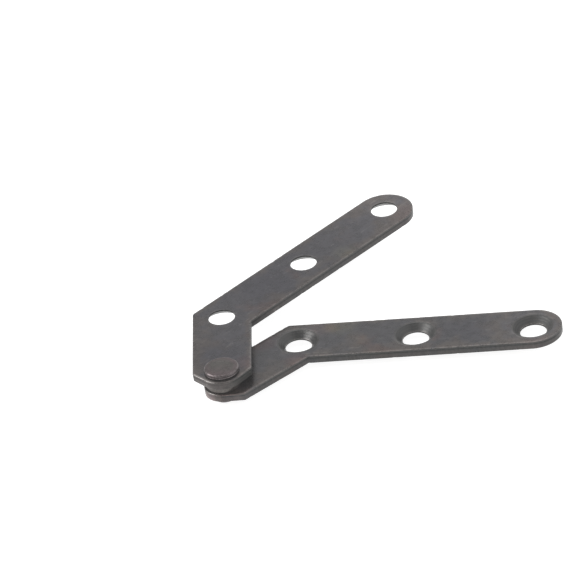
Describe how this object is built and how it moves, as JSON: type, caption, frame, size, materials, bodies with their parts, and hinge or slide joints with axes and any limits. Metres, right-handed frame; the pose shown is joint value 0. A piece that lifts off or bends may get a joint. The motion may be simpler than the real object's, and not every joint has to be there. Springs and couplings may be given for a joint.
{
  "type": "offset knife hinge",
  "caption": "Flat offset knife hinge: two cranked leaves stacked on one rivet pivot, with countersunk screw holes, in a dark bronzed finish.",
  "frame": {"origin": "on the underside of the lower leaf, on the centre line of its straight arm, midway between its first and second screw holes", "axes": "+X along the arm of the lower leaf, away from the pivot; +Z from the lower leaf's seat through the thickness, along the pivot rivet towards its flat head; the upper leaf stands open by 50 degrees about the pivot"},
  "size_m": [0.0616, 0.0544, 0.0062],
  "materials": {
    "lower_leaf_steel": "dark antique bronze patina over steel, satin, rubbed brighter along its edges",
    "upper_leaf_steel": "dark antique bronze patina over steel, satin, rubbed brighter along its edges",
    "rivet_steel": "olive brown patina over steel, satin",
    "washer_steel": "dark oiled steel, satin"
  },
  "bodies": {
    "fixed_leaf": {"lower_leaf": "lower_leaf_steel", "pivot_rivet": "rivet_steel", "friction_washer": "washer_steel"},
    "swinging_leaf": {"upper_leaf": "upper_leaf_steel"}
  },
  "joints": [
    {"name": "leaf_pivot", "type": "hinge", "parent": "fixed_leaf", "child": "swinging_leaf", "pos_m": [-0.02113, -0.01138, 0], "axis": [0, 0, 1], "range_deg": [-50, 130]}
  ]
}
